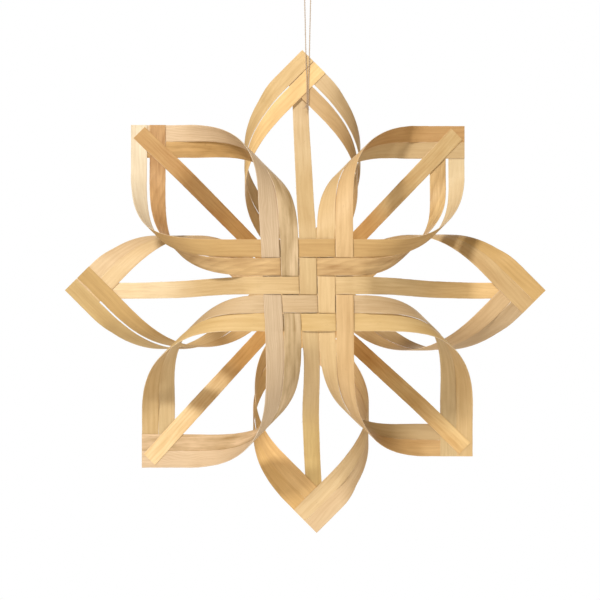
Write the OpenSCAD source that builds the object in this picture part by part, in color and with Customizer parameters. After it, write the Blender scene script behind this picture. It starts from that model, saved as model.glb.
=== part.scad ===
// Hanging star plaited from flat wood strips, millimetres.
// X runs to the right, Z runs up and the front of the star faces -Y.
// The origin is the point inside the top of the twine loop, where a hook bears.
// The star is two woven squares of five by five strips, one in front and one behind, turned 45 degrees to
// each other. Eight strips of each square curl over at both ends, and meet as petals half way between the
// squares. The middle strips of each square run straight on and end at the petals of the other square.

/* [Strips] */
// Width of a strip
strip_w = 14.8; // [12:0.1:14.8]
// Thickness of a strip
strip_t = 0.7; // [0.4:0.05:0.7]
// Distance between the centre lines of neighbouring strips in a woven square
pitch = 15.6; // [15.6:0.1:16.4]
// How far a strip rises above or dips below the middle plane of its woven square
weave_lift = 0.5; // [0.5:0.05:0.7]

/* [Star] */
// Distance between the middle planes of the front and the back woven square
depth = 192; // [180:1:200]
// Distance from the centre of the square at which its outermost strips begin to curl
curl_start_outer = 48; // [44:0.5:50]
// Distance from the centre of the square at which the strips next to them begin to curl
curl_start_inner = 36; // [36:0.5:42]
// Inside radius of the two bends of a middle strip
middle_bend = 25; // [15:1:35]

/* [Hanging twine] */
// Diameter of the twine
twine_d = 1.0; // [0.8:0.05:1.1]
// Height of the loop's top above the centre of the star
drop = 300; // [295:1:305]
// Sideways distance from the twine to the centre of the star
star_side = 2.9; // [2:0.1:4]

/* [Hidden] */

// The weave, row by row from the top: 1 where the upright strip lies over the level one
OVER = [[1, 1, 0, 0, 1],
        [0, 1, 1, 0, 0],
        [0, 0, 1, 1, 0],
        [1, 0, 0, 1, 1],
        [1, 1, 0, 0, 1]];

// The petals of a square, in its own directions: upper left, upper right, lower left, lower right.
// Each row: how far the ends of the upright strips reach upwards, how far the ends of the level strips
// reach sideways, and the slit between the two upright ends and between the two level ends.
FRONT_PETALS = [[154, 160.5, 0.6, 2.4],
                [153, 148, 0.6, 2.4],
                [163, 150.5, 1.2, 0.8],
                [152.5, 155.5, 0.4, 0.4]];
BACK_PETALS = [[166, 150, 0.6, 0.8],
               [157, 158.5, 0.6, 0.6],
               [157.5, 156, 0.6, 1.6],
               [159.5, 156.5, 0.8, 2.4]];

middle = 2;                          // index of the middle strip, counted from 0
last_index = 2 * middle;
root_two = sqrt(2);
half_depth = depth / 2;
square_edge = middle * pitch + strip_w / 2;
layer_gap = 0.06;                    // film of glue between two strips at a petal's tip
layer = strip_t + layer_gap;
middle_gap = 1.5 * layer;            // from a petal's middle plane to the middle strip that ends at it
cross_half = 0.56;                   // half the length over which a strip goes from over to under
settle = 15;                         // length over which a strip's twist sets in outside the weave
curl_rings = 38;                     // rings along each curl
curl_steps = 120;                    // steps of the sum that gives the curl's curve
bend_steps = 6;                      // rings in each bend of a middle strip
behind_tip = 20;                     // how far short of the tip a middle strip ends behind a back petal
before_tip = 10.5;                   // the same in front of a front petal
bend_clear = 14;                     // flat length of a middle strip inside the petal's inner corner
crossing_clear = 1;                  // flat length of a band before the crossing at a petal's tip
hung_lean = -2.8;                    // how far the strip end that the twine holds leans aside
hung_back = 1.35;                    // how far it stands off the petal, with the twine between
half_right = 45;
turned_over = half_right / 2;        // angle above level of the axis the back square is turned over about
twine_sides = 8;
steep = 0.9;                         // share of Y in a direction above which a twine's rings start from X

wood_pale = [0.93, 0.80, 0.60];
wood_warm = [0.90, 0.73, 0.50];
twine_tone = [0.72, 0.66, 0.58];

function total(list, i = 0, so_far = 0) =
    i == len(list) ? so_far : total(list, i + 1, so_far + list[i]);
function ease(x) = let (c = max(0, min(1, x))) c * c * (3 - 2 * c);
function mix(a, b, w) = a * (1 - w) + b * w;
function reverse(list) = [for (i = [len(list) - 1 : -1 : 0]) list[i]];

// --- The curl: a half turn whose direction changes with the share t of its length.
// Fullness below 0 bends it more near its ends, above 0 more in its middle.
function turned(t, fullness) = 180 * t - fullness * 90 / PI * sin(360 * t);
function rise_share(fullness) =
    total([for (i = [0.5 : 1 : curl_steps]) sin(turned(i / curl_steps, fullness))]) / curl_steps;
function fullness_for(share, low = -2, high = 2, tries = 24) =
    let (guess = (low + high) / 2)
    tries == 0 ? guess
    : rise_share(guess) > share ? fullness_for(share, guess, high, tries - 1)
    : fullness_for(share, low, guess, tries - 1);
function curl_table(length, fullness) = [
    for (i = 0, e = 0, z = 0; i <= curl_steps;
         e = e + cos(turned((i + 0.5) / curl_steps, fullness)) * length / curl_steps,
         z = z + sin(turned((i + 0.5) / curl_steps, fullness)) * length / curl_steps,
         i = i + 1) [i * length / curl_steps, e, z]];
function column(table, c) = [for (row = table) [row[0], row[c]]];

// A point of a curled end, as [across, along, depth, turn]: along is the way the strip leaves the weave,
// across the way it curls to. s is measured along the strip from where the curl begins, h across it.
// It lies flat up to the weave's edge, and again from the edge of the crossing at the petal's tip.
function curl_point(s, h, lane, start, level, length, tip, crossing, e_col, z_col, fullness) =
    let (v = (s - h) / root_two,
         inside = max(0, min(length, v)),
         u = (lane + start + s + h) / root_two,
         e = (start - lane) / root_two + min(0, v) + lookup(inside, e_col) - max(0, v - length),
         curled = [(u - e) / root_two, (u + e) / root_two, level - lookup(inside, z_col)],
         woven = [lane + h, start + s, level],
         last = [lane + s - length / root_two, start + length / root_two + h, tip],
         leaving = ease((start + s - square_edge) / settle),
         arriving = ease((last[0] - crossing) / settle + 1),
         turn = turned(inside / length, fullness))
    concat(mix(mix(woven, curled, leaving), last, arriving), [mix(leaving * turn, 180, arriving)]);

// The same point moved half a thickness to one side; the surface turns about the petal's diagonal
function face_point(p, side) =
    let (n = side * strip_t / 2, lean = n * sin(p[3]) / root_two)
    [p[0] - lean, p[1] + lean, p[2] + n * cos(p[3])];

function petal_of(petals, right, up) = petals[(right > 0 ? 1 : 0) + (up > 0 ? 0 : 2)];

// The ends on the petal's anticlockwise side lie nearer the front
function tip_level(upright, right, up) = (upright == (right * up > 0) ? 1 : -1) * layer / 2;

function level_of(upright, index, crossing) =
    let (over = upright ? OVER[last_index - crossing][index] : 1 - OVER[index][crossing])
    half_depth + (over == 1 ? weave_lift : -weave_lift);

// Rings of one curled end, from the weave to the cut. Each ring is four corners as [across, along, depth].
function curled_end(upright, index, lane, way, petals) =
    let (out = sign(lane),
         right = upright ? out : way,
         up = upright ? way : out,
         petal = petal_of(petals, right, up),
         outer = abs(index - middle) == middle,
         start = outer ? curl_start_outer : curl_start_inner,
         level = level_of(upright, index, way > 0 ? last_index : 0),
         slit = upright ? petal[2] : petal[3],
         reach = (upright ? petal[0] : petal[1]) - strip_w / 2 - (outer ? 0 : strip_w + slit),
         cut = upright ? petal[1] : petal[0],
         other_slit = upright ? petal[3] : petal[2],
         tip = tip_level(upright, right, up),
         length = root_two * (reach - start),
         fullness = fullness_for((level - tip) / length),
         table = curl_table(length, fullness),
         e_col = column(table, 1),
         z_col = column(table, 2),
         crossing = cut - 2 * strip_w - other_slit - crossing_clear,
         first = square_edge - start,
         last = cut - abs(lane) + length / root_two,
         edge = out * strip_w / 2)
    [for (i = [0 : curl_rings])
        let (s = mix(first, last, i / curl_rings),
             pair = [for (h = [-edge, edge])
                 curl_point(s, h, abs(lane), start, level, length, tip, crossing, e_col, z_col, fullness)])
        [for (c = [face_point(pair[0], 1), face_point(pair[1], 1),
                   face_point(pair[1], -1), face_point(pair[0], -1)])
            [out * c[0], way * c[1], c[2]]]];

// Rings of one straight end of a middle strip, which leans towards the tip of the other square's petal
function middle_profile(rise, run) =
    let (r = middle_bend,
         slope = atan2(rise - 2 * r, run) + asin(2 * r / norm([rise - 2 * r, run])))
    concat([for (i = [0 : bend_steps])
                let (a = slope * i / bend_steps) [r * sin(a), r * (1 - cos(a))]],
           [for (i = [bend_steps : -1 : 0])
                let (a = slope * i / bend_steps) [run - r * sin(a), rise - r * (1 - cos(a))]]);

function middle_end(upright, way, other_petals, short_of_tip, hung) =
    let (up = upright ? -way : way,
         petal = petal_of(other_petals, way, up),
         tip = [way * petal[1], up * petal[0]],
         inner = [petal[1] - 2 * strip_w - petal[3], petal[0] - 2 * strip_w - petal[2]],
         turn = half_right - atan2(tip[1], tip[0]),
         seen = norm(tip) * [cos(turn), sin(turn)],
         aside = (upright ? seen[0] : seen[1]) + (hung ? hung_lean : 0),
         reach = abs(upright ? seen[1] : seen[0]),
         level = level_of(upright, middle, way > 0 ? last_index : 0),
         rise = level + middle_gap + (hung ? hung_back : 0),
         profile = middle_profile(rise, norm(inner) - bend_clear - square_edge),
         ends = concat(profile, [[reach - short_of_tip - square_edge, rise]]))
    [for (p = ends)
        let (shift = aside * p[0] / (reach - square_edge),
             along = way * (square_edge + p[0]),
             z = level - p[1])
        [for (c = [[-1, 1], [1, 1], [1, -1], [-1, -1]])
            [shift + c[0] * strip_w / 2, along, z + c[1] * strip_t / 2]]];

// Rings where a strip goes from over to under inside the weave
function woven_rings(upright, index, lane) = [
    for (crossing = [0 : last_index - 1])
        let (here = level_of(upright, index, crossing),
             next = level_of(upright, index, crossing + 1),
             gap = (crossing + 0.5 - middle) * pitch)
        if (here != next)
            for (step = [[-cross_half, here], [cross_half, next]])
                [for (c = [[-1, 1], [1, 1], [1, -1], [-1, -1]])
                    [lane + c[0] * strip_w / 2, gap + step[0], step[1] + c[1] * strip_t / 2]]];

// Skin over rings of equal count, closed at both ends unless the rings come back to the first
module skin(rings, flipped = false, ring_closed = false) {
    n = len(rings[0]);
    count = len(rings);
    spans = ring_closed ? count : count - 1;
    // The two diagonals that face each other across a strip's thickness run the same way
    sides = [for (i = [0 : spans - 1], k = [0 : n - 1])
        let (m = (k + 1) % n,
             a = i * n + k,
             b = i * n + m,
             c = (i + 1) % count * n + m,
             d = (i + 1) % count * n + k)
        for (face = k == 2 ? [[a, b, d], [b, c, d]] : [[a, b, c], [a, c, d]]) face];
    caps = ring_closed ? [] : [[for (k = [n - 1 : -1 : 0]) k],
                               [for (k = [0 : n - 1]) (count - 1) * n + k]];
    faces = concat(sides, caps);
    polyhedron([for (ring = rings, p = ring) p], flipped ? [for (f = faces) reverse(f)] : faces);
}

module strip(upright, index, petals, other_petals, short_of_tip, hung = false) {
    lane = (upright ? index - middle : middle - index) * pitch;
    is_middle = index == middle;
    low = is_middle ? middle_end(upright, -1, other_petals, short_of_tip, false)
        : curled_end(upright, index, lane, -1, petals);
    high = is_middle ? middle_end(upright, 1, other_petals, short_of_tip, hung)
        : curled_end(upright, index, lane, 1, petals);
    rings = concat(reverse(low), woven_rings(upright, index, lane), high);
    placed = upright ? rings
        : [for (ring = rings) [for (p = ring) [p[1], p[0], p[2]]]];
    skin(placed, upright);
}

module in_front() {
    translate([-star_side, 0, -drop])
        rotate([90, 0, 0])
            children();
}

// The back square is the front one turned over, which leaves it turned 45 degrees
module at_back() {
    in_front()
        rotate(a = 180, v = [cos(turned_over), sin(turned_over), 0])
            children();
}

module front_strip(upright, index) {
    color(index % 2 == 0 ? wood_pale : wood_warm)
        in_front()
            strip(upright, index, FRONT_PETALS, BACK_PETALS, behind_tip, hung = upright);
}

module back_strip(upright, index) {
    color(index % 2 == 0 ? wood_warm : wood_pale)
        at_back()
            strip(upright, index, BACK_PETALS, FRONT_PETALS, before_tip);
}

// --- The twine: one length, doubled over the hook and tied round the upright middle strip.
// The route of its right-hand run, as [from its middle line, towards the front, up]
LOOP_RIGHT = [[3.2, 0, -6], [3.0, 0, -15], [2.7, 0.1, -30], [2.4, 0.3, -45], [2.1, 0.6, -58],
              [1.9, 0.9, -68]];
TAIL_RIGHT = [[1.9, 0.9, -68], [1.7, 1.5, -78], [1.4, 1.6, -88], [1.0, 1.6, -98], [0.7, 1.6, -108],
              [0.6, 1.7, -118], [0.6, 1.1, -127.9]];
loop_r = 3.2;
turn_gap = 0.1;                      // the star turns on its twine here
twine_step = 3.5;                    // distance between the twine's rings
knot_r = 1.4;
knot_at = [-0.6, -1, -128.8];
hitch_at = [-6.8, 2.49, -118.3];     // middle of the hitch, on the middle line of the strip it holds
hitch_slant = 45;                    // the hitch slants up to the left, behind the petal's crossing
hitch_clear = 0.25;                  // slack between the hitch and the strip
hitch_wide = 0.2;                    // extra slack at each edge of the strip
// From the knot back through the gap beside the strip, and up to the hitch
HITCH_LEAD = [[-0.5, -0.6, -128.9], [-0.4, 0.8, -129], [-0.2, 1.39, -128.2], [0.3, 1.39, -125.4]];
loop_step = 20;                      // degrees between the rings at the loop's top
hitch_step = 30;                     // the same where the hitch turns round the strip's edges

function spread(points, step) = [
    for (i = [0 : len(points) - 2])
        let (a = points[i], b = points[i + 1], n = max(1, round(norm(b - a) / step)))
        for (k = [0 : n - 1]) mix(a, b, k / n)];
function with_end(points, step) = concat(spread(points, step), [points[len(points) - 1]]);

function tube_ring(at, forward) =
    let (f = forward / norm(forward),
         side = abs(f[1]) > steep ? [1, 0, 0] : [0, 1, 0],
         a = cross(f, side) / norm(cross(f, side)),
         b = cross(f, a))
    [for (k = [0 : twine_sides - 1])
        at + twine_d / 2 * (cos(360 * k / twine_sides) * a + sin(360 * k / twine_sides) * b)];
function tube_rings(path) = [
    for (i = [0 : len(path) - 1])
        tube_ring(path[i], path[min(i + 1, len(path) - 1)] - path[max(i - 1, 0)])];
function mirrored(points) = [for (p = points) [-p[0], p[1], p[2]]];
function to_front(points) = [for (p = points) [p[0], -p[1], p[2]]];

module hanging_loop() {
    leg = with_end(to_front(LOOP_RIGHT), twine_step);
    arc = [for (a = [loop_step : loop_step : 180 - loop_step])
        [loop_r * cos(a), 0, -loop_r + twine_d / 2 + loop_r * sin(a)]];
    color(twine_tone)
        skin(tube_rings(concat(reverse(leg), arc, mirrored(leg))), true);
}

module twine_tail() {
    route = to_front(TAIL_RIGHT);
    lowered = concat([route[0] - [0, 0, turn_gap]], [for (i = [1 : len(route) - 1]) route[i]]);
    color(twine_tone)
        for (points = [lowered, mirrored(lowered)])
            skin(tube_rings(with_end(points, twine_step)), true);
}

// The hitch goes round the upright middle strip, between it and the crossing of the top petal
module twine_hitch() {
    round = strip_t / 2 + twine_d / 2 + hitch_clear;
    half_w = strip_w / 2 / cos(hitch_slant) + hitch_wide;
    around = [for (end = [[1, -90], [-1, 90]], a = [0 : hitch_step : 180])
        [end[0] * half_w + round * cos(end[1] + a), round * sin(end[1] + a), 0]];
    count = len(around);
    rings = [for (i = [0 : count - 1])
        tube_ring(around[i], around[(i + 1) % count] - around[(i + count - 1) % count])];
    color(twine_tone) {
        translate(hitch_at)
            rotate([0, hitch_slant, 0])
                skin(rings, true, true);
        skin(tube_rings(HITCH_LEAD), true);
    }
}

module twine_knot() {
    color(twine_tone)
        translate(knot_at)
            sphere(r = knot_r, $fn = 24);
}

front_strip(true, 0);  // front_upright_strip_1
front_strip(true, 1);  // front_upright_strip_2
front_strip(true, 2);  // front_upright_strip_3
front_strip(true, 3);  // front_upright_strip_4
front_strip(true, 4);  // front_upright_strip_5
front_strip(false, 0);  // front_level_strip_1
front_strip(false, 1);  // front_level_strip_2
front_strip(false, 2);  // front_level_strip_3
front_strip(false, 3);  // front_level_strip_4
front_strip(false, 4);  // front_level_strip_5
back_strip(true, 0);  // back_falling_strip_1
back_strip(true, 1);  // back_falling_strip_2
back_strip(true, 2);  // back_falling_strip_3
back_strip(true, 3);  // back_falling_strip_4
back_strip(true, 4);  // back_falling_strip_5
back_strip(false, 0);  // back_rising_strip_1
back_strip(false, 1);  // back_rising_strip_2
back_strip(false, 2);  // back_rising_strip_3
back_strip(false, 3);  // back_rising_strip_4
back_strip(false, 4);  // back_rising_strip_5
hanging_loop();
twine_tail();
twine_hitch();
twine_knot();
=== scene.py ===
"""Looks of a hanging star plaited from wood strips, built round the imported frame.

Metres. X runs to the right, Z up, and the front of the star faces -Y. Each strip is a fine ribbon on the same
curved sheet as its CAD solid, and the twine is one twisted tube.
"""

import math

import bmesh
import bpy
import numpy as np
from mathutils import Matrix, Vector


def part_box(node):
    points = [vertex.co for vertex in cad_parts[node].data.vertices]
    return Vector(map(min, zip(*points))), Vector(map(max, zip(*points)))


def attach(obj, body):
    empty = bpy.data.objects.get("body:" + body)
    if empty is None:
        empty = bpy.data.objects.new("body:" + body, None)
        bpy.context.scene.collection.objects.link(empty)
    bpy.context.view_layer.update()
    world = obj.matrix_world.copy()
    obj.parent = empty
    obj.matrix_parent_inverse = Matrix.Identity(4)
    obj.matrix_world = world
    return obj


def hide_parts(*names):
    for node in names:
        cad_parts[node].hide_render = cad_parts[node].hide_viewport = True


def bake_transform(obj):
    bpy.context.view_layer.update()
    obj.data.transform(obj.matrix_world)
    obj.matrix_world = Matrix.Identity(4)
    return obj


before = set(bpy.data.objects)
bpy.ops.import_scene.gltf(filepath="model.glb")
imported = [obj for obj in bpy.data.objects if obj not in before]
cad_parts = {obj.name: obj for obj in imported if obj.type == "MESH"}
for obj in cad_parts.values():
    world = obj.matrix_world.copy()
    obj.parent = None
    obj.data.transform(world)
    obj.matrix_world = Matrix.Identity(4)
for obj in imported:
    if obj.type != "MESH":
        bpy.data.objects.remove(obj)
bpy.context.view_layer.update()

# --- Driving dimensions, as in the CAD source
STRIP_W = 0.0148
STRIP_T = 0.0007
PITCH = 0.0156                     # between the middle lines of neighbouring strips in a woven square
WEAVE_LIFT = 0.0005                # how far a strip rises above or dips below its square's middle plane
CURL_START_OUTER = 0.048           # how far from the square's centre its outermost strips begin to curl
CURL_START_INNER = 0.036           # the same for the strips next to them
MIDDLE_BEND = 0.025                # radius of a middle strip's two bends, on its middle surface
TWINE_D = 0.001
STAR_AT = np.array([-0.0029, 0, -0.300])
LAYER_GAP = 0.00006                # film of glue between two strips at a petal's tip
LAYER = STRIP_T + LAYER_GAP
MIDDLE_GAP = 1.5 * LAYER           # from a petal's middle plane to the middle strip that ends at it
SETTLE = 0.015                     # length over which a strip's twist sets in outside the weave
SETTLE_IN = 0.030                  # length over which it fades at a petal's tip, longer than in the CAD
BEHIND_TIP = 0.020                 # how far short of the tip a middle strip ends behind a back petal
BEFORE_TIP = 0.0105                # the same in front of a front petal
BEND_CLEAR = 0.014                 # flat length of a middle strip inside the petal's inner corner
CROSSING_CLEAR = 0.001             # flat length of a band before the crossing at a petal's tip
HUNG_LEAN = -0.0028                # how far the strip end that the twine holds leans aside
HUNG_BACK = 0.00135                # how far it stands off the petal, with the twine between
MIDDLE, LAST = 2, 4                # the middle and the last strip of a set of five, counted from 0
LAST_LANE = MIDDLE * PITCH
OUTER_LANE = 1.5 * PITCH           # strips further out than this are the outermost ones
SQUARE_EDGE = LAST_LANE + STRIP_W / 2
HALF_DEPTH = -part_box("front_upright_strip_1")[0][1] - WEAVE_LIFT - STRIP_T / 2
ROOT_TWO = math.sqrt(2)

# The weave, row by row from the top: 1 where the upright strip lies over the level one
OVER = [[1, 1, 0, 0, 1],
        [0, 1, 1, 0, 0],
        [0, 0, 1, 1, 0],
        [1, 0, 0, 1, 1],
        [1, 1, 0, 0, 1]]

# Petals of a square, in its own directions: upper left, upper right, lower left, lower right. Each row: reach
# of the upright ends, reach of the level ends, slit between the upright ends, slit between the level ends. In
# the star the back square's petals are the bottom, right, left and top one.
FRONT_PETALS = [[0.154, 0.1605, 0.0006, 0.0024],
                [0.153, 0.148, 0.0006, 0.0024],
                [0.163, 0.1505, 0.0012, 0.0008],
                [0.1525, 0.1555, 0.0004, 0.0004]]
BACK_PETALS = [[0.166, 0.150, 0.0006, 0.0008],
               [0.157, 0.1585, 0.0006, 0.0006],
               [0.1575, 0.156, 0.0006, 0.0016],
               [0.1595, 0.1565, 0.0008, 0.0024]]


# --- Small tools

def ease(x):
    c = np.clip(x, 0, 1)
    return c * c * (3 - 2 * c)


def mix(a, b, w):
    return a * (1 - w) + b * w


def wobble(x, wavelength, seed):
    """Smooth noise from -1 to 1 along x."""
    knots = np.random.default_rng(seed).uniform(-1, 1, 1024)
    place = np.asarray(x) / wavelength + 512
    i = np.floor(place).astype(int)
    return mix(knots[i], knots[i + 1], ease(place - i))


def linear(rgb):
    """A colour given as 0 to 255 in sRGB, as scene-linear RGBA."""
    c = np.array(rgb) / 255
    return (*np.where(c < 0.04045, c / 12.92, ((c + 0.055) / 1.055) ** 2.4), 1)


# --- Camera, stage and light

def make_camera():
    data = bpy.data.cameras.new("camera")
    data.sensor_width = 36
    data.lens = 56.4
    data.shift_x, data.shift_y = 0.0285, 0.0362
    camera = bpy.data.objects.new("camera", data)
    camera.location = (-0.0229, -0.870, -0.328)
    camera.rotation_euler = (math.radians(90), 0, 0)
    bpy.context.scene.collection.objects.link(camera)
    bpy.context.scene.camera = camera


def area_light(name, place, target, size, power):
    data = bpy.data.lights.new(name, "AREA")
    data.shape, data.size, data.energy = "DISK", size, power
    light = bpy.data.objects.new(name, data)
    light.location = place
    light.rotation_euler = (Vector(target) - Vector(place)).to_track_quat("-Z", "Y").to_euler()
    bpy.context.scene.collection.objects.link(light)


# How much the studio round the star lights it, and in what tone. The camera sees it plain white.
AMBIENT = 0.34
AMBIENT_TONE = (1.0, 0.84, 0.60, 1)
FLOOR_R = 1.45
FLOOR_Z = -1.05


def make_studio():
    scene = bpy.context.scene
    scene.view_settings.view_transform = "Standard"
    world = bpy.data.worlds.new("white_studio")
    world.use_nodes = True
    tree = world.node_tree
    tree.nodes.clear()
    seen = put(tree, "LightPath")
    strength = put(tree, "MapRange", {"Value": seen, "To Min": AMBIENT, "To Max": 1.0})
    tone = blend_colour(tree, seen, AMBIENT_TONE, (1, 1, 1, 1))
    put(tree, "OutputWorld", {"Surface": put(tree, "Background", {"Color": tone, "Strength": strength})})
    scene.world = world
    middle = tuple(STAR_AT)
    area_light("key", (-0.85, -1.70, 1.20), middle, size=0.35, power=45)
    area_light("front_fill", (0.35, -3.0, -0.85), middle, size=2.4, power=23)
    area_light("back_fill", (0.5, 2.4, 0.5), middle, size=2, power=20)
    work = bmesh.new()
    bmesh.ops.create_circle(work, cap_ends=True, segments=96, radius=FLOOR_R)
    mesh = bpy.data.meshes.new("floor")
    work.to_mesh(mesh)
    work.free()
    mesh.materials.append(stage_white())
    floor = bpy.data.objects.new("floor", mesh)
    floor.location.z = FLOOR_Z
    scene.collection.objects.link(floor)


# --- Materials

def put(tree, kind, values=None, out=0, **settings):
    """Adds a node and returns an output of it. values maps its inputs to constants or to sockets to link."""
    node = tree.nodes.new("ShaderNode" + kind)
    for key, value in settings.items():
        setattr(node, key, value)
    for key, value in (values or {}).items():
        if isinstance(value, bpy.types.NodeSocket):
            tree.links.new(value, node.inputs[key])
        else:
            node.inputs[key].default_value = value
    return node.outputs[out] if node.outputs else node


def new_material(name):
    material = bpy.data.materials.new(name)
    material.use_nodes = True
    material.node_tree.nodes.clear()
    return material, material.node_tree


def maths(tree, operation, a, b=0.0, c=0.0, clamp=False):
    return put(tree, "Math", {0: a, 1: b, 2: c}, operation=operation, use_clamp=clamp)


def blend_colour(tree, share, a, b, mode="MIX"):
    return put(tree, "Mix", {0: share, 6: a, 7: b}, out=2, data_type="RGBA", blend_type=mode)


def smooth_step(tree, value, low, high):
    values = {"Value": value, "From Min": low, "From Max": high}
    return put(tree, "MapRange", values, interpolation_type="SMOOTHSTEP")


def stretched_noise(tree, uv, scale, seed, detail=2.0, roughness=0.5):
    """Noise on the strip's own coordinates, with separate scales along and across the grain, per metre."""
    shift = (seed * 3.7, seed * 1.9, seed)
    place = put(tree, "Mapping", {"Vector": uv, "Location": shift, "Scale": (*scale, 1)})
    return put(tree, "TexNoise", {"Vector": place, "Scale": 1.0, "Detail": detail, "Roughness": roughness})


def finish_surface(tree, colour, roughness, height, bump_strength, bump_distance, sheen=0.0):
    normal = put(tree, "Bump", {"Strength": bump_strength, "Distance": bump_distance, "Height": height})
    shader = put(tree, "BsdfPrincipled", {"Base Color": colour, "Roughness": roughness, "Normal": normal,
                                          "Specular IOR Level": 0.35, "Sheen Weight": sheen,
                                          "Sheen Roughness": 0.5})
    put(tree, "OutputMaterial", {"Surface": shader})


def stage_white():
    material, tree = new_material("stage_white")
    shader = put(tree, "BsdfPrincipled", {"Base Color": (0.9, 0.9, 0.9, 1), "Roughness": 0.9,
                                          "Emission Color": (1, 1, 1, 1), "Emission Strength": 0.35})
    put(tree, "OutputMaterial", {"Surface": shader})
    return material


# The UV map of a ribbon holds metres: along the strip, and across it. The other face and the cut sides are
# shifted across, so that each has its own stretch of the pattern.
BACK_SHIFT = 0.04
SIDE_SHIFT = 0.10

# The wood's patterns. A scale is in spots per metre, along the grain and across it. The rings wander by
# RING_DRIFT in metres, and a fleck has FLECK_TONE of the deep tone's light.
RING_DRIFT_SCALE = (14, 45)
RING_DRIFT = 0.016
FIBRE_SCALE, FIBRE_WEIGHT = (55, 1500), 0.26
STREAK_SCALE, STREAK_WEIGHT = (18, 420), 0.42
PATCH_SCALE = (26, 85)
FLECK_SCALE, FLECK_WEIGHT, FLECK_TONE = (260, 1900), 0.28, 0.62
MIDDLE_TONE = 0.36
# How much of the whitish tone the cut sides take, and the fuzzy rim of a face: partly pale raw wood and
# partly painted highlight
SIDE_WEIGHT, RIM_WEIGHT = 0.8, 0.5
RIM_W = 0.0006
RIM_SCALE = (120, 60)
# Distances from a strip's middle between which the painted light and shade at its ends comes in
TINT_FROM, TINT_FULL = 0.10, 0.16


def growth_rings(tree, uv, along, across, width, slant, seed):
    """Share of late wood: it grows slowly through each ring and stops short at the ring's end."""
    drift = maths(tree, "SUBTRACT", stretched_noise(tree, uv, RING_DRIFT_SCALE, seed, 2), 0.5)
    ring = maths(tree, "DIVIDE", maths(tree, "MULTIPLY_ADD", along, slant, across), width)
    ring = maths(tree, "ADD", ring, maths(tree, "MULTIPLY", drift, RING_DRIFT / width))
    phase = maths(tree, "FRACT", ring)
    return maths(tree, "MULTIPLY", smooth_step(tree, phase, 0.25, 0.82), smooth_step(tree, phase, 1.0, 0.9))


def pale_sides_and_painted_highlight(tree, uv, across, seed):
    """Share of whitish tone, partly pale raw wood and partly painted highlight: all of the cut sides, and a
    fuzzy rim along one edge of each face.
    """
    side = smooth_step(tree, across, SIDE_SHIFT - 0.02, SIDE_SHIFT - 0.01)
    folded = maths(tree, "PINGPONG", maths(tree, "ADD", across, STRIP_W), BACK_SHIFT / 2)
    off_middle = maths(tree, "ABSOLUTE", maths(tree, "SUBTRACT", folded, STRIP_W))
    rim = smooth_step(tree, off_middle, STRIP_W / 2 - RIM_W, STRIP_W / 2)
    fuzz = smooth_step(tree, stretched_noise(tree, uv, RIM_SCALE, seed), 0.35, 0.65)
    rim = maths(tree, "MULTIPLY", rim, fuzz)
    return maths(tree, "MAXIMUM", maths(tree, "MULTIPLY", side, SIDE_WEIGHT),
                 maths(tree, "MULTIPLY", rim, RIM_WEIGHT))


def wood_material(name, pale, deep, ring_width, ring_depth, slant, blotch, reverse, end_painted_light_and_shade, seed):
    """Planed wood strip: growth rings and fibres along it, slow patches of tone, flecks, pale edges that are
    partly painted highlight, and painted light and shade towards its ends.
    """
    material, tree = new_material(name)
    uv = put(tree, "UVMap", uv_map="strip")
    axes = put(tree, "SeparateXYZ", {0: uv})
    along, across = axes, axes.node.outputs[1]
    late = growth_rings(tree, uv, along, across, ring_width, slant, seed)
    fibre = stretched_noise(tree, uv, FIBRE_SCALE, seed + 1, 3, 0.6)
    streak = stretched_noise(tree, uv, STREAK_SCALE, seed + 2, 2)
    patch = stretched_noise(tree, uv, PATCH_SCALE, seed + 3, 3)
    fleck = smooth_step(tree, stretched_noise(tree, uv, FLECK_SCALE, seed + 4, 1), 0.66, 0.78)
    tone = maths(tree, "MULTIPLY", late, ring_depth)
    for part, weight in ((fibre, FIBRE_WEIGHT), (streak, STREAK_WEIGHT), (patch, blotch)):
        centred = maths(tree, "SUBTRACT", part, 0.5)
        tone = maths(tree, "ADD", tone, maths(tree, "MULTIPLY", centred, weight * 2))
    tone = maths(tree, "ADD", tone, MIDDLE_TONE, clamp=True)
    colour = blend_colour(tree, tone, linear(pale), linear(deep))
    dark = tuple(FLECK_TONE * c for c in linear(deep)[:3])
    colour = blend_colour(tree, maths(tree, "MULTIPLY", fleck, FLECK_WEIGHT), colour, (*dark, 1))
    # The other face's tint, partly that face's own tone and partly painted light and shade, and the painted
    # light and shade at the two ends, which stay on that face where it has a tint of its own
    on_reverse = smooth_step(tree, across, BACK_SHIFT / 2 - 0.001, BACK_SHIFT / 2 + 0.001)
    colour = blend_colour(tree, on_reverse, colour, (*reverse, 1), "MULTIPLY")
    tinted = 1.0 if reverse == PLAIN else on_reverse
    for way, tint in zip((-1, 1), end_painted_light_and_shade):
        near_end = smooth_step(tree, maths(tree, "MULTIPLY", along, way), TINT_FROM, TINT_FULL)
        colour = blend_colour(tree, maths(tree, "MULTIPLY", near_end, tinted), colour, (*tint, 1), "MULTIPLY")
    # Whitish cut sides and rims, partly raw wood and partly painted highlight
    whiter = tuple(mix(np.array(linear(pale)[:3]), 1.0, 0.35))
    colour = blend_colour(tree, pale_sides_and_painted_highlight(tree, uv, across, seed + 5), colour, (*whiter, 1))
    rough = put(tree, "MapRange", {"Value": fibre, "To Min": 0.48, "To Max": 0.68})
    height = maths(tree, "ADD", maths(tree, "MULTIPLY", fibre, 0.6), maths(tree, "MULTIPLY", streak, 0.5))
    finish_surface(tree, colour, rough, height, bump_strength=0.45, bump_distance=0.00015)
    return material


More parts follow.
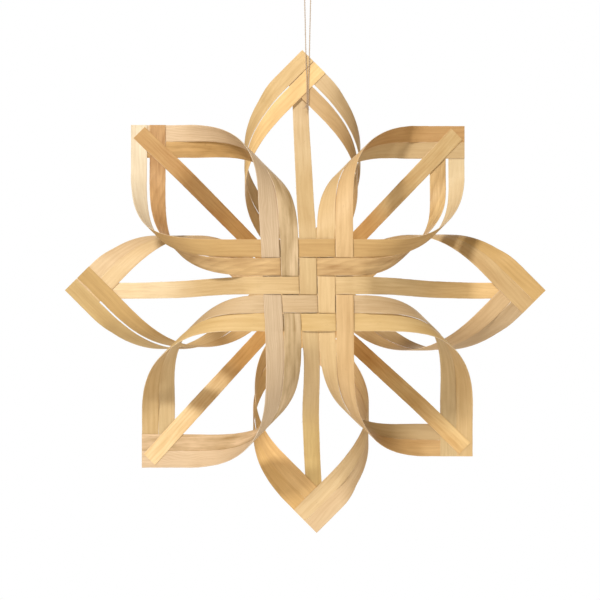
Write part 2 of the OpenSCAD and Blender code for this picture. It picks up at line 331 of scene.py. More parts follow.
def twine_material():
    """Grey-brown bast twine: pale fibres and darker patches along the ply. Its UV map holds radians across.
    """
    material, tree = new_material("twisted_twine")
    uv = put(tree, "UVMap", uv_map="strip")
    fibre = stretched_noise(tree, uv, (900, 5), 3, 3, 0.6)
    patch = stretched_noise(tree, uv, (60, 1), 5, 2)
    tone = maths(tree, "ADD", maths(tree, "MULTIPLY", fibre, 0.75),
                 maths(tree, "MULTIPLY", patch, 0.35), clamp=True)
    colour = blend_colour(tree, tone, linear((228, 208, 182)), linear((150, 124, 98)))
    rough = put(tree, "MapRange", {"Value": fibre, "To Min": 0.7, "To Max": 0.9})
    finish_surface(tree, colour, rough, fibre, bump_strength=0.4, bump_distance=0.0001, sheen=0.25)
    return material


# --- Mesh building

# Edges sharper than this stay hard, in degrees
SHARP_ANGLE = 48
# The waist between the twine's two strands, as a share of its radius
PLY_WAIST = 0.62


class Shell:
    """Collects points, faces and per-corner UVs of one piece."""

    def __init__(self):
        self.points, self.faces, self.uvs, self.count = [], [], [], 0

    def add(self, points, faces, uvs):
        """points (n, 3); faces (m, 4) indexes; uvs (m, 4, 2)."""
        self.points.append(np.asarray(points, float).reshape(-1, 3))
        self.faces.append(np.asarray(faces, int) + self.count)
        self.uvs.append(np.asarray(uvs, float))
        self.count += len(self.points[-1])

    def piece(self, name, material):
        faces, uvs = np.vstack(self.faces), np.vstack(self.uvs)
        mesh = bpy.data.meshes.new(name)
        mesh.from_pydata(np.vstack(self.points).tolist(), [], faces.tolist())
        layer = mesh.uv_layers.new(name="strip")
        layer.data.foreach_set("uv", uvs.reshape(-1).astype(np.float32))
        work = bmesh.new()
        work.from_mesh(mesh)
        bmesh.ops.recalc_face_normals(work, faces=work.faces)
        work.to_mesh(mesh)
        work.free()
        mesh.shade_smooth()
        mesh.set_sharp_from_angle(angle=math.radians(SHARP_ANGLE))
        mesh.materials.append(material)
        made = bpy.data.objects.new(name, mesh)
        bpy.context.scene.collection.objects.link(made)
        return made


def frames_along(path):
    """Directions across a path, carried along it without twisting."""
    forward = np.gradient(path, axis=0)
    forward /= np.linalg.norm(forward, axis=1)[:, None]
    first = np.cross(forward[0], [0, 1, 0] if abs(forward[0][1]) < 0.9 else [1, 0, 0])
    across = [first / np.linalg.norm(first)]
    for f in forward[1:]:
        a = across[-1] - np.dot(across[-1], f) * f
        across.append(a / np.linalg.norm(a))
    across = np.array(across)
    return forward, across, np.cross(forward, across)


def add_tube(shell, path, radius, sides, lay=None, taper=0.0, v_at=0.0):
    """Sweeps a ring along a path. With lay, the length of a turn, it is two strands twisted together."""
    path = np.asarray(path, float)
    forward, across, up = frames_along(path)
    run = np.concatenate([[0], np.cumsum(np.linalg.norm(np.diff(path, axis=0), axis=1))])
    angle = np.arange(sides) / sides * 2 * math.pi
    turn = run[:, None] / lay * 2 * math.pi if lay else np.zeros((len(path), 1))
    ply = np.maximum(np.abs(np.cos(angle)), PLY_WAIST) if lay else np.ones(sides)
    size = radius * (1 - taper * run / run[-1])[:, None] * ply[None, :]
    spin = angle[None, :] + turn
    points = (path[:, None, :] + (size * np.cos(spin))[..., None] * across[:, None, :]
              + (size * np.sin(spin))[..., None] * up[:, None, :])
    add_grid(shell, points, run, np.append(angle, 2 * math.pi), v_at)


def add_grid(shell, points, along, across, v_at):
    """Quads over rings of points that close on themselves, with a fan of quads over each end."""
    rows, sides = points.shape[:2]
    row, side = (grid.ravel() for grid in np.meshgrid(np.arange(rows - 1), np.arange(sides), indexing="ij"))
    here, after, onward = row * sides, (row + 1) * sides, (side + 1) % sides
    faces = np.stack([here + side, here + onward, after + onward, after + side], 1)
    u = np.asarray(along)
    v = v_at + np.asarray(across)
    uvs = np.stack([np.stack([u[row], v[side]], 1), np.stack([u[row], v[side + 1]], 1),
                    np.stack([u[row + 1], v[side + 1]], 1), np.stack([u[row + 1], v[side]], 1)], 1)
    half = sides // 2
    caps = [[first + k, first + k + 1, first + sides - 2 - k, first + (sides - 1 - k) % sides]
            for first in (0, (rows - 1) * sides) for k in range(half - 1)]
    cap_uvs = [[[u[0 if k < half - 1 else -1], v_at]] * 4 for k in range(len(caps))]
    shell.add(points.reshape(-1, 3), np.vstack([faces, caps]), np.vstack([uvs, cap_uvs]))


def smooth_route(points, step):
    """A Catmull-Rom curve through the points, in steps of about the given length."""
    p = np.array(points, float)
    p = np.vstack([2 * p[0] - p[1], p, 2 * p[-1] - p[-2]])
    out = []
    for a, b, c, d in zip(p, p[1:], p[2:], p[3:]):
        count = max(2, int(round(np.linalg.norm(c - b) / step)))
        t = (np.arange(count) / count)[:, None]
        bend, twist = 2 * a - 5 * b + 4 * c - d, 3 * b - a - 3 * c + d
        out.append(0.5 * (2 * b + (c - a) * t + bend * t**2 + twist * t**3))
    return np.vstack([*out, p[-2:-1]])


# --- The twine

# Right-hand run from its middle line, as [aside, towards the front, up]; the left-hand run mirrors it
TWINE_RIGHT = [[0.0032, 0, -0.006], [0.0030, 0, -0.015], [0.0027, 0.0001, -0.030], [0.0024, 0.0003, -0.045],
               [0.0021, 0.0006, -0.058], [0.0019, 0.0009, -0.068], [0.0017, 0.0015, -0.078],
               [0.0014, 0.0016, -0.088], [0.0010, 0.0016, -0.098], [0.0007, 0.0016, -0.108],
               [0.0006, 0.0017, -0.118], [0.0006, 0.0011, -0.1279]]
LOOP_R = 0.0032
TWINE_LAY = 0.0046                 # length of one turn of its two strands
TWINE_STEP = 0.0004
TWINE_SIDES = 14
# The long run is drawn this much thicker, for the waist between its two strands
PLUMP = 1.06
HAIR_R = 0.00004
HAIR_LONG = (0.0008, 0.0022)
KNOT_AT = np.array([-0.0006, -0.001, -0.1288])
KNOT_SIZE = [0.00036, 0.00055, 0.00036]
# The twine is drawn tight in the knot, and so are its ends
KNOT_R = TWINE_D * 0.44
KNOT_END_R = TWINE_D * 0.45
KNOT_LAY = TWINE_LAY * 0.8
# The knot's two short ends, from KNOT_AT
KNOT_ENDS = [[[0.0003, -0.0008, -0.0004], [0.0011, -0.0013, -0.0013], [0.0014, -0.0012, -0.0026]],
             [[-0.0004, -0.0006, -0.0003], [-0.0012, -0.0012, -0.0009], [-0.0020, -0.0013, -0.0018]]]
# Middle of the turn round the strip, its slack off the strip's faces and at the strip's edges, and the lead
# from the knot back to it
HITCH_AT = np.array([-0.0068, 0.00249, -0.1183])
HITCH_CLEAR = 0.00025
HITCH_WIDE = 0.0002
HITCH_LEAD = [[-0.0005, -0.0006, -0.1289], [-0.0004, 0.0008, -0.129], [-0.0002, 0.00139, -0.1282],
              [0.0003, 0.00139, -0.1254]]


def twine_route():
    right = [[x, -f, z] for x, f, z in TWINE_RIGHT]
    left = [[-x, y, z] for x, y, z in right]
    arc = [[LOOP_R * math.cos(a), 0, TWINE_D / 2 - LOOP_R + LOOP_R * math.sin(a)]
           for a in np.radians(range(20, 161, 20))]
    return right[::-1] + arc + left


def add_fuzz(shell, path, count, seed):
    """Loose fibres that stand off the twine."""
    rng = np.random.default_rng(seed)
    forward, across, up = frames_along(path)
    for i in rng.integers(4, len(path) - 4, count):
        a = rng.uniform(0, 2 * math.pi)
        out = math.cos(a) * across[i] + math.sin(a) * up[i]
        long = rng.uniform(*HAIR_LONG)
        lean = rng.choice([-1, 1]) * rng.uniform(0.8, 2.2)
        t = np.linspace(0, 1, 4)[:, None]
        curl = np.cross(forward[i], out) * t**2 * rng.uniform(-0.5, 0.5)
        hair = path[i] + out * TWINE_D * 0.3 + (out * t * 0.55 + forward[i] * lean * t * 0.45 + curl) * long
        add_tube(shell, hair, HAIR_R, 4, taper=0.7)


def make_twine(material):
    path = smooth_route(twine_route(), TWINE_STEP)
    shell = Shell()
    add_tube(shell, path, TWINE_D / 2 * PLUMP, TWINE_SIDES, TWINE_LAY)
    add_fuzz(shell, path, count=420, seed=7)
    twine = shell.piece("hanging_twine", material)
    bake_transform(twine)
    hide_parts("hanging_loop", "twine_tail")
    return twine, path


def make_hitch(material):
    """The twine goes once round the upright middle strip, slanting up to the left behind the crossing."""
    round_r = STRIP_T / 2 + TWINE_D / 2 + HITCH_CLEAR
    slant = math.sqrt(0.5)
    half_w = STRIP_W / 2 / slant + HITCH_WIDE
    flat = [[side * half_w + round_r * math.cos(a), round_r * math.sin(a)]
            for side, start in ((1, -90), (-1, 90)) for a in np.radians(np.arange(start, start + 181, 30))]
    corners = HITCH_AT + np.array([[slant * along, y, -slant * along] for along, y in [*flat, flat[0]]])
    path = smooth_route(corners, TWINE_STEP)
    turns = round(len(path) * TWINE_STEP / TWINE_LAY)
    shell = Shell()
    long = np.linalg.norm(np.diff(path, axis=0), axis=1).sum()
    add_tube(shell, path, TWINE_D / 2, TWINE_SIDES, long / turns)
    add_fuzz(shell, path, count=60, seed=17)
    add_tube(shell, smooth_route(HITCH_LEAD, TWINE_STEP), TWINE_D / 2, TWINE_SIDES, TWINE_LAY)
    hitch = shell.piece("hitch_turn", material)
    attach(hitch, "star")
    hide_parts("twine_hitch")
    return hitch


def make_knot(material):
    """An overhand knot with two short frayed ends."""
    t = np.linspace(0.35, 2 * math.pi + 0.15, 150)
    knot = np.stack([np.sin(t) + 2 * np.sin(2 * t), -np.sin(3 * t), np.cos(t) - 2 * np.cos(2 * t)], 1)
    path = KNOT_AT + knot * KNOT_SIZE
    shell = Shell()
    add_tube(shell, path, KNOT_R, TWINE_SIDES, KNOT_LAY)
    for end in KNOT_ENDS:
        route = smooth_route(KNOT_AT + np.array(end), 0.0003)
        add_tube(shell, route, KNOT_END_R, TWINE_SIDES, KNOT_LAY, taper=0.25)
        frayed = route[-1] + (route[-1] - route[-2]) * np.arange(1, 7)[:, None]
        add_fuzz(shell, np.vstack([route, frayed]), count=26, seed=31)
    add_fuzz(shell, path, count=40, seed=23)
    knot = shell.piece("overhand_knot", material)
    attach(knot, "star")
    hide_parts("twine_knot")
    return knot


# --- The strips' sheets, in a square's own directions: x to the right, y up, z out of its face

def turned(t, fullness):
    """Direction of a curl after the share t of its length: a half turn in all."""
    return math.pi * t - fullness / 2 * np.sin(2 * math.pi * t)


CURL_T = (np.arange(240) + 0.5) / 240


def fullness_for(share):
    """The fullness at which a curl rises by the given share of its length."""
    low, high = -2.0, 2.0
    for _ in range(40):
        guess = (low + high) / 2
        if np.sin(turned(CURL_T, guess)).mean() > share:
            low = guess
        else:
            high = guess
    return guess


def petal_of(petals, right, up):
    return petals[(1 if right > 0 else 0) + (0 if up > 0 else 2)]


def over_sign(upright, index, crossing):
    """1 where a strip lies over the one it crosses, -1 under it. Crossings are counted up or to the right."""
    over = OVER[LAST - crossing][index] if upright else 1 - OVER[index][crossing]
    return 1 if over else -1


def level_of(upright, index, crossing):
    return HALF_DEPTH + over_sign(upright, index, crossing) * WEAVE_LIFT


TOP_PETAL = BACK_PETALS[3]
# Bands with a wider slit than this between them stay apart, and so do the top petal's
OPEN_SLIT = 0.0015
# How far each of the others spreads towards its neighbour, and how far the inner one stands off the outer one
LAP_WIDTH = 0.0007
LAP_DEPTH = 0.0009


class CurledEnd:
    """One end of a strip that curls over and meets its petal's tip."""

    def __init__(self, upright, index, lane, way, petals):
        self.out, self.way = math.copysign(1, lane), way
        self.lane = abs(lane)
        right, up = (self.out, way) if upright else (way, self.out)
        petal = petal_of(petals, right, up)
        outer = self.lane > OUTER_LANE
        self.start = CURL_START_OUTER if outer else CURL_START_INNER
        self.level = level_of(upright, index, LAST if way > 0 else 0)
        near, far = (0, 1) if upright else (1, 0)
        reach = petal[near] - STRIP_W / 2 - (0 if outer else STRIP_W + petal[near + 2])
        cut = petal[far]
        self.tip = (1 if upright == (right * up > 0) else -1) * LAYER / 2
        self.length = ROOT_TWO * (reach - self.start)
        self.fullness = fullness_for((self.level - self.tip) / self.length)
        step = self.length / len(CURL_T)
        angles = turned(CURL_T, self.fullness)
        self.at = np.arange(len(CURL_T) + 1) * step
        self.ahead = np.concatenate([[0], np.cumsum(np.cos(angles))]) * step
        self.fall = np.concatenate([[0], np.cumsum(np.sin(angles))]) * step
        self.crossing = cut - 2 * STRIP_W - petal[far + 2] - CROSSING_CLEAR
        self.reach = self.start + cut - self.lane + self.length / ROOT_TWO
        self.slit = petal[near + 2]
        self.lapped = self.slit < OPEN_SLIT and petal is not TOP_PETAL
        self.inwards = 1 if outer else -1

    def lap(self, aside):
        """Widens the band under or over its neighbour where the two touch. At the tip they just meet."""
        towards = np.clip(-self.inwards * self.out * aside / (STRIP_W / 2), 0, 1)
        spread = self.loose * LAP_WIDTH + self.settled * self.slit / 2
        return aside - self.inwards * self.out * towards * spread * self.lapped

    def points(self, along, aside):
        """Points at distances along (n, 1) from the square's centre and aside (n, c) from the middle line.

        The strip curls about an axis at 45 degrees to it. on_axis is a point's place along that axis,
        off_axis its place across it, and flat is how far it lies past the line where the curl begins.
        """
        past, outward = along - self.start, self.out * aside
        flat = (past - outward) / ROOT_TWO
        inside = np.clip(flat, 0, self.length)
        on_axis = (self.lane + self.start + past + outward) / ROOT_TWO
        off_axis = ((self.start - self.lane) / ROOT_TWO + np.minimum(0, flat)
                    + np.interp(inside, self.at, self.ahead) - np.maximum(0, flat - self.length))
        height = self.level - np.interp(inside, self.at, self.fall)
        curled = np.stack([(on_axis - off_axis) / ROOT_TWO, (on_axis + off_axis) / ROOT_TWO, height], -1)
        still = np.zeros_like(outward)
        woven = np.stack([self.lane + outward, self.start + past + still, self.level + still], -1)
        last = np.stack([self.lane + past - self.length / ROOT_TWO + still,
                         self.start + self.length / ROOT_TWO + outward, self.tip + still], -1)
        leaving = ease((self.start + past - SQUARE_EDGE) / SETTLE + still)[..., None]
        arriving = ease((last[..., 0] - self.crossing) / SETTLE_IN + 1)[..., None]
        made = mix(mix(woven, curled, leaving), last, arriving)
        self.loose, self.settled = (leaving * (1 - arriving))[..., 0], arriving[..., 0]
        return made * [self.out, self.way, 1]


class StraightEnd:
    """One end of a middle strip, which leans towards the tip of the other square's petal."""

    def __init__(self, upright, index, way, other_petals, short_of_tip, hung):
        petal = petal_of(other_petals, way, -way if upright else way)
        tip = np.array([way * petal[1], (-way if upright else way) * petal[0]])
        inner = math.hypot(petal[1] - 2 * STRIP_W - petal[3], petal[0] - 2 * STRIP_W - petal[2])
        turn = math.pi / 4 - math.atan2(tip[1], tip[0])
        seen = np.linalg.norm(tip) * np.array([math.cos(turn), math.sin(turn)])
        self.way, self.aside = way, (seen[0] if upright else seen[1]) + hung * HUNG_LEAN
        self.end = abs(seen[1] if upright else seen[0])
        self.level = level_of(upright, index, LAST if way > 0 else 0)
        rise, run = self.level + MIDDLE_GAP + hung * HUNG_BACK, inner - BEND_CLEAR - SQUARE_EDGE
        spare = rise - 2 * MIDDLE_BEND
        slope = math.atan2(spare, run) + math.asin(2 * MIDDLE_BEND / math.hypot(spare, run))
        angles = np.linspace(0, slope, 24)
        first = np.stack([MIDDLE_BEND * np.sin(angles), MIDDLE_BEND * (1 - np.cos(angles))], 1)
        last = [self.end - short_of_tip - SQUARE_EDGE, rise]
        self.profile = np.vstack([first, ([run, rise] - first)[::-1], [last]])
        self.at = np.concatenate([[0], np.cumsum(np.linalg.norm(np.diff(self.profile, axis=0), axis=1))])
        self.reach = SQUARE_EDGE + self.at[-1]

    def points(self, along, aside):
        gone = np.maximum(along - SQUARE_EDGE, 0) + np.zeros_like(aside)
        out = np.interp(gone, self.at, self.profile[:, 0])
        down = np.interp(gone, self.at, self.profile[:, 1])
        shift = self.aside * out / (self.end - SQUARE_EDGE)
        self.loose = ease(gone / SETTLE)
        return np.stack([shift + aside, self.way * (SQUARE_EDGE + out), self.level - down], -1)


WEAVE_FLAT = 0.00042     # level of a strip at the edges of a crossing
WEAVE_CROWN = 0.0008     # how much more it bulges in the middle of one
ARCH_TOP = 1.2           # height of an arch half way over two crossings, against that over one
CROSS_HALF = 0.0008      # half the length over which it goes from over to under
ROW_STEP = 0.00125       # distance from one row of a strip's points to the next


def gap_after(crossing):
    """Place along a strip half way from one crossing to the next."""
    return (crossing - MIDDLE + 0.5) * PITCH


def woven_level(upright, index, y):
    """Level of a strip in the weave, at place y along it: one arch over each run of crossings of one kind."""
    signs = [over_sign(upright, index, crossing) for crossing in range(LAST + 1)]
    places, heights = [-SQUARE_EDGE], [0]
    for crossing, sign in enumerate(signs):
        places.append((crossing - MIDDLE) * PITCH)
        heights.append(sign)
        if crossing < LAST:
            places.append(gap_after(crossing))
            heights.append((sign + signs[crossing + 1]) * ARCH_TOP / 2)
    arch = np.sin(np.interp(y, [*places, SQUARE_EDGE], [*heights, 0]) / ARCH_TOP * math.pi / 2) * WEAVE_CROWN
    flat = np.full_like(y, signs[0] * WEAVE_FLAT)
    for crossing in range(LAST):
        here, after = signs[crossing] * WEAVE_FLAT, signs[crossing + 1] * WEAVE_FLAT
        gap = gap_after(crossing)
        flat = np.where(y > gap - CROSS_HALF, mix(here, after, ease((y - gap) / CROSS_HALF / 2 + 0.5)), flat)
    first, last = (signs[k] * (WEAVE_LIFT - WEAVE_FLAT) for k in (0, LAST))
    outside = np.where(y < 0, first * ease((-y - LAST_LANE) / (SQUARE_EDGE - LAST_LANE)),
                       last * ease((y - LAST_LANE) / (SQUARE_EDGE - LAST_LANE)))
    return HALF_DEPTH + arch + flat + outside


def strip_rows(low, high):
    rows = np.arange(-low.reach, high.reach, ROW_STEP)
    rows = rows[(rows > -low.reach + ROW_STEP / 2) & (rows < high.reach - ROW_STEP / 2)]
    fine = [gap_after(k) + d for k in range(LAST) for d in CROSS_HALF * np.linspace(-1, 1, 7)]
    return np.unique(np.round(np.concatenate([[-low.reach, high.reach], rows, fine]), 6))


# Columns of points across a strip, and half its thickness at each: the edges are eased
HALF_COLUMNS = [0.2, 0.4, 0.6, 0.8, 0.93, 0.965, 1]
COLUMNS = np.array([-c for c in HALF_COLUMNS[::-1]] + [0] + HALF_COLUMNS) * STRIP_W / 2
FULL_T = np.array([0.4, 0.76, 1] + [1] * 9 + [1, 0.76, 0.4]) * STRIP_T / 2
# A strip's width drifts in two waves, each with its length and its share of the width. Its edges are ragged.
WIDTH_WAVES = [0.045, 0.009]
WIDTH_SHARES = [0.007, 0.004]
RAGGED_WAVE, RAGGED = 0.0035, 0.00007


def strip_sheet(upright, index, petals, other_petals, short_of_tip, seed):
    """Middle surface of a strip in its square's directions, with its place along it and across it."""
    lane = (index - MIDDLE if upright else MIDDLE - index) * PITCH
    if index == MIDDLE:
        carries_twine = petals is FRONT_PETALS and upright
        low, high = (StraightEnd(upright, index, way, other_petals, short_of_tip, carries_twine and way > 0)
                     for way in (-1, 1))
    else:
        low, high = (CurledEnd(upright, index, lane, way, petals) for way in (-1, 1))
    rows = strip_rows(low, high)
    drift = [wobble(rows, wave, seed + k) for k, wave in enumerate(WIDTH_WAVES)]
    width = 1 + np.stack(drift, 1) @ WIDTH_SHARES
    ragged = [wobble(rows, RAGGED_WAVE, seed + 2 + k) * RAGGED for k in (0, 1)]
    aside = COLUMNS[None, :] * width[:, None]
    aside[:, 0] += ragged[0]
    aside[:, -1] += ragged[1]
    made = np.zeros((len(rows), len(COLUMNS), 3))
    loose, lap = np.zeros((2, len(rows), len(COLUMNS)))
    inside = np.abs(rows) <= SQUARE_EDGE
    for end, part in ((low, rows < -SQUARE_EDGE), (high, rows > SQUARE_EDGE)):
        along = np.abs(rows[part])[:, None]
        made[part] = end.points(along, aside[part])
        loose[part] = end.loose
        if index != MIDDLE:
            # The first pass has found where the end is loose, and so where it is lapped
            made[part] = end.points(along, end.lap(aside[part]))
            lap[part] = end.loose * end.lapped * (end.inwards < 0)
    y = rows[inside][:, None] + np.zeros(len(COLUMNS))
    made[inside] = np.stack([lane + aside[inside], y, woven_level(upright, index, y)], -1)
    if not upright:
        made = made[..., [1, 0, 2]]
    return rows, made, loose, lap


# How far the hand-plaited front weave is out of square, in millimetres. For each height above its centre:
# the shift to the right of each upright strip, and the shift upwards of the level strips.
WARP_HEIGHTS = [-64, -31, -15.5, 0, 15.5, 31, 68]
WARP_RIGHT = [[4.8, 4.4, 2.8, 1.4, 0], [3.8, 4.0, 2.2, 0.8, -0.3], [3.0, 2.7, 1.0, 0.4, -0.4],
              [2.3, 1.8, 0.4, 0.3, -0.5], [1.6, 1.3, 0.4, 0.1, -0.6], [0.7, 1.4, 0.5, -0.2, -0.8],
              [-1.6, 0.5, -0.4, 0, -0.8]]
WARP_UP = [2.4, 2.8, 2.1, 2.0, 1.3, 1.4, 1.0]
# The shift starts at the first share of the way from the star's middle to its front face, and is full after
# the second share more
WARP_FROM, WARP_OVER = 0.35, 0.5
MM = 1000


def out_of_square(points):
    """Shifts points near the front face of the front square, and leaves those at the petals' tips alone."""
    x, y, z = np.moveaxis(points, -1, 0) * MM
    columns = [np.interp(y, WARP_HEIGHTS, column) for column in zip(*WARP_RIGHT)]
    place = np.clip((x + LAST_LANE * MM) / (PITCH * MM), 0, LAST - 0.001)
    left = np.floor(place).astype(int)
    right = mix(np.choose(left, columns), np.choose(left + 1, columns), place - left)
    up = np.interp(y, WARP_HEIGHTS, WARP_UP)
    share = ease((z / (HALF_DEPTH * MM) - WARP_FROM) / WARP_OVER)
    return points + np.stack([right * share, up * share, np.zeros_like(z)], -1) / MM


def surface_normals(sheet):
    down_rows, down_columns = np.gradient(sheet, axis=0), np.gradient(sheet, axis=1)
    normal = np.cross(down_columns, down_rows)
    return normal / np.linalg.norm(normal, axis=-1)[..., None]


def in_front(points):
    return STAR_AT + np.stack([points[..., 0], -points[..., 2], points[..., 1]], -1)


def at_back(points):
    """The back square is the front one turned over about an axis 22.5 degrees from level."""
    x, y, z = np.moveaxis(points, -1, 0)
    half = math.sqrt(0.5)
    return in_front(np.stack([half * (x + y), half * (x - y), -z], -1))


def add_ribbon(shell, rows, sheet, normal):
    """A closed ribbon: two faces, two cut sides and two cut ends, each with its own stretch of the UV map."""
    grid = sheet.shape[:2]
    front = sheet + normal * FULL_T[None, :, None]
    back = sheet - normal * FULL_T[None, :, None]
    points = np.concatenate([front.reshape(-1, 3), back.reshape(-1, 3)])
    upper = np.arange(math.prod(grid)).reshape(grid)
    under = upper + upper.size
    uv = np.stack([np.broadcast_to(rows[:, None], grid), np.broadcast_to(COLUMNS, grid)], -1)

    def quads(ids, places):
        faces = np.stack([ids[:-1, :-1], ids[:-1, 1:], ids[1:, 1:], ids[1:, :-1]], -1).reshape(-1, 4)
        corners = np.stack([places[:-1, :-1], places[:-1, 1:], places[1:, 1:], places[1:, :-1]], -2)
        return faces, corners.reshape(-1, 4, 2)

    made = [quads(upper, uv), quads(under, uv + [0, BACK_SHIFT])]
    for column in (0, grid[1] - 1):
        side = np.stack([rows, np.zeros(grid[0])], 1)
        places = np.stack([side + [0, SIDE_SHIFT], side + [0, SIDE_SHIFT + STRIP_T]], 1)
        made.append(quads(np.stack([upper[:, column], under[:, column]], 1), places))
    for row in (0, grid[0] - 1):
        end = np.stack([np.zeros(grid[1]), COLUMNS], 1)
        places = np.stack([end + [0, SIDE_SHIFT], end + [STRIP_T, SIDE_SHIFT]], 1)
        made.append(quads(np.stack([upper[row], under[row]], 1), places))
    shell.add(points, np.vstack([faces for faces, _ in made]), np.vstack([corners for _, corners in made]))


SPLINTERS = 9
SPLINTER_LONG = (0.0015, 0.0055)
SPLINTER_R = (0.00006, 0.00013)


def add_splinters(shell, sheet, normal, seed):
    """Thin slivers of wood that stand off the strip's edges."""
    rng = np.random.default_rng(seed)
    for _ in range(SPLINTERS):
        row, column = rng.integers(6, len(sheet) - 6), rng.choice([0, sheet.shape[1] - 1])
        inward = 1 if column == 0 else -1
        ahead = sheet[row + 1, column] - sheet[row - 1, column]
        ahead *= rng.choice([-1, 1]) / np.linalg.norm(ahead)
        out = sheet[row, column] - sheet[row, column + inward * 3]
        out /= np.linalg.norm(out)
        long = rng.uniform(*SPLINTER_LONG)
        t = np.linspace(0, 1, 6)[:, None]
        stand = out * rng.uniform(0.08, 0.4) + normal[row, column] * rng.uniform(-0.15, 0.25)
        path = sheet[row, column] - out * 0.00015 + long * (ahead * t + stand * t**1.6)
        add_tube(shell, path, rng.uniform(*SPLINTER_R), 4, taper=0.85, v_at=SIDE_SHIFT)


# --- What each strip looks like: pale tone, deep tone, width and depth of its growth rings, slant of the
# grain, patchiness, and the tint of its other face, partly that face's own tone and partly painted light and
# shade
FRONT_UPRIGHT_WOOD = [((210, 186, 154), (184, 156, 122), 0.0016, 0.26, 0.004, 0.25, (1.19, 1.18, 1.16)),
                      ((213, 186, 147), (142, 112, 60), 0.0060, 0.12, 0.030, 1.00, (0.92, 0.80, 0.66)),
                      ((212, 184, 136), (188, 153, 104), 0.0030, 0.10, 0.010, 0.35, (1, 1, 1)),
                      ((222, 192, 143), (197, 161, 110), 0.0040, 0.10, 0.012, 0.35, (0.84, 0.84, 0.84)),
                      ((221, 187, 137), (191, 153, 103), 0.0045, 0.14, -0.020, 0.50, (0.87, 0.8, 0.68))]
FRONT_LEVEL_WOOD = [((204, 168, 112), (176, 136, 82), 0.0035, 0.12, 0.010, 0.35, (1.28, 1.58, 2.35)),
                    ((215, 180, 128), (162, 122, 74), 0.0060, 0.17, -0.300, 0.75, (1.05, 1, 1)),
                    ((219, 190, 142), (189, 153, 101), 0.0028, 0.12, 0.008, 0.35, (1, 1, 1)),
                    ((211, 184, 145), (182, 149, 106), 0.0030, 0.12, 0.010, 0.45, (1.02, 1.04, 0.94)),
                    ((219, 188, 134), (195, 158, 97), 0.0050, 0.10, 0.020, 0.40, (0.98, 0.98, 1.04))]
BACK_FALLING_WOOD = [((232, 200, 152), (204, 164, 116), 0.0035, 0.12, 0.015, 0.40, (1, 1, 1)),
                     ((234, 202, 150), (206, 166, 112), 0.0040, 0.12, 0.010, 0.40, (1, 1, 1)),
                     ((228, 192, 134), (192, 142, 82), 0.0032, 0.14, 0.020, 0.60, (0.98, 0.88, 0.72)),
                     ((226, 194, 144), (196, 158, 106), 0.0045, 0.12, -0.015, 0.40, (1, 1, 1)),
                     ((208, 180, 137), (178, 145, 99), 0.0038, 0.14, 0.060, 0.45, (1, 1, 1))]
BACK_RISING_WOOD = [((224, 188, 132), (192, 154, 96), 0.0040, 0.12, 0.012, 0.40, (1, 1, 1)),
                    ((224, 190, 136), (194, 154, 100), 0.0036, 0.14, 0.070, 0.45, (1, 1, 1)),
                    ((230, 197, 145), (201, 156, 97), 0.0034, 0.14, 0.015, 0.70, (0.90, 0.76, 0.56)),
                    ((214, 178, 124), (182, 144, 92), 0.0042, 0.12, -0.020, 0.40, (1, 1, 1)),
                    ((218, 188, 138), (190, 154, 104), 0.0030, 0.12, 0.010, 0.40, (1, 1, 1))]

# How the tone of some strips drifts towards their two ends, the lower or left end first. It is painted light
# and shade: an end is made paler where it stands in the light, and darker where the curls shade it.
PLAIN = (1, 1, 1)
END_PAINTED_LIGHT_AND_SHADE = {"front_upright_strip_2": ((1.25, 1.4, 1.75), (1, 0.95, 0.75)),
             "front_upright_strip_3": ((1.15, 1.15, 0.95), (1.1, 1.15, 1.3)),
             "front_upright_strip_5": (PLAIN, (0.9, 0.85, 0.8)),
             "front_level_strip_1": ((1.1, 1.2, 1.45), PLAIN),
             "front_level_strip_2": ((0.9, 0.85, 0.8), (1.05, 1.15, 1.15)),
             "front_level_strip_3": ((1.3, 1.45, 1.8), (1.2, 1.15, 1.05)),
             "front_level_strip_5": ((0.9, 0.9, 0.9), PLAIN),
             "back_falling_strip_1": ((0.95, 1, 1.1), (0.95, 1, 1.1)),
             "back_falling_strip_2": ((0.95, 1, 1.1), (0.95, 1, 1.1)),
             "back_falling_strip_3": ((0.75, 0.75, 0.8), (1.1, 1.3, 1.65)),
             "back_falling_strip_4": ((1.25, 1.25, 1.15), (0.9, 0.9, 0.95)),
             "back_falling_strip_5": ((1.25, 1.25, 1.15), (0.9, 0.9, 0.95)),
             "back_rising_strip_1": ((1.1, 1.05, 0.95), (0.9, 0.88, 0.8)),
             "back_rising_strip_2": ((1.1, 1.05, 0.95), (0.9, 0.92, 0.95)),
             "back_rising_strip_3": ((1.25, 1.6, 2.4), (0.9, 1.1, 1.45)),
             "back_rising_strip_4": ((0.9, 0.9, 0.8), (1.05, 1.1, 1.25)),
             "back_rising_strip_5": ((0.9, 0.9, 0.8), (1.05, 1.1, 1.25))}

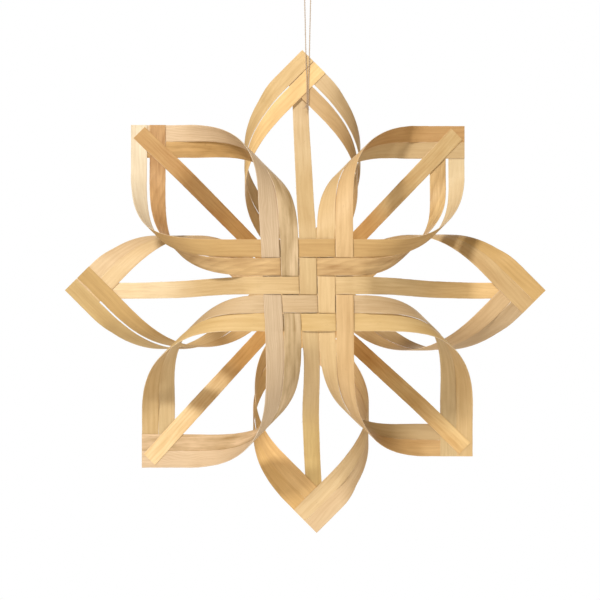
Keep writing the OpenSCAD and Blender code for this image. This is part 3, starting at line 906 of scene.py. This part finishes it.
SETS = [("front_upright_strip", True, in_front, FRONT_PETALS, BACK_PETALS, BEHIND_TIP, FRONT_UPRIGHT_WOOD),
        ("front_level_strip", False, in_front, FRONT_PETALS, BACK_PETALS, BEHIND_TIP, FRONT_LEVEL_WOOD),
        ("back_falling_strip", True, at_back, BACK_PETALS, FRONT_PETALS, BEFORE_TIP, BACK_FALLING_WOOD),
        ("back_rising_strip", False, at_back, BACK_PETALS, FRONT_PETALS, BEFORE_TIP, BACK_RISING_WOOD)]


# Slow waves along a strip's face and the cupping across it: length and height of each
FACE_WAVE, FACE_RISE = 0.04, 0.00010
CUP_WAVE, CUP_RISE = 0.09, 0.00018
GRAIN_STEP = 0.37
FIRST_SEED, SEEDS_EACH = 100, 20


def make_strip(node, upright, index, place, petals, other_petals, short_of_tip, wood, seed):
    rows, sheet, loose, lap = strip_sheet(upright, index, petals, other_petals, short_of_tip, seed)
    sheet = place(out_of_square(sheet) if petals is FRONT_PETALS else sheet)
    normal = surface_normals(sheet) * (1 if upright else -1)
    wave = wobble(rows, FACE_WAVE, seed + 9)[:, None] * FACE_RISE
    cup = (COLUMNS[None, :] / (STRIP_W / 2)) ** 2 * (wobble(rows, CUP_WAVE, seed + 10)[:, None] * CUP_RISE)
    sheet = sheet + normal * ((wave + cup) * loose + LAP_DEPTH * lap)[..., None]
    shell = Shell()
    add_ribbon(shell, rows, sheet, normal)
    add_splinters(shell, sheet, normal, seed + 11)
    # Painted light and shade towards the strip's two ends, where it has any
    end_painted_light_and_shade = END_PAINTED_LIGHT_AND_SHADE.get(node, (PLAIN, PLAIN))
    grain = wood_material(node + "_grain", *wood, end_painted_light_and_shade, seed * GRAIN_STEP)
    piece = shell.piece(node + "_wood", grain)
    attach(piece, "star")
    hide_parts(node)


make_camera()
make_studio()
twine_look = twine_material()
twine, twine_path = make_twine(twine_look)
hitch, knot = make_hitch(twine_look), make_knot(twine_look)

for number, (stem, upright, place, petals, other_petals, short_of_tip, woods) in enumerate(SETS):
    for index, wood in enumerate(woods):
        seed = FIRST_SEED + SEEDS_EACH * (len(woods) * number + index)
        make_strip(f"{stem}_{index + 1}", upright, index, place, petals, other_petals, short_of_tip,
                   wood, seed)
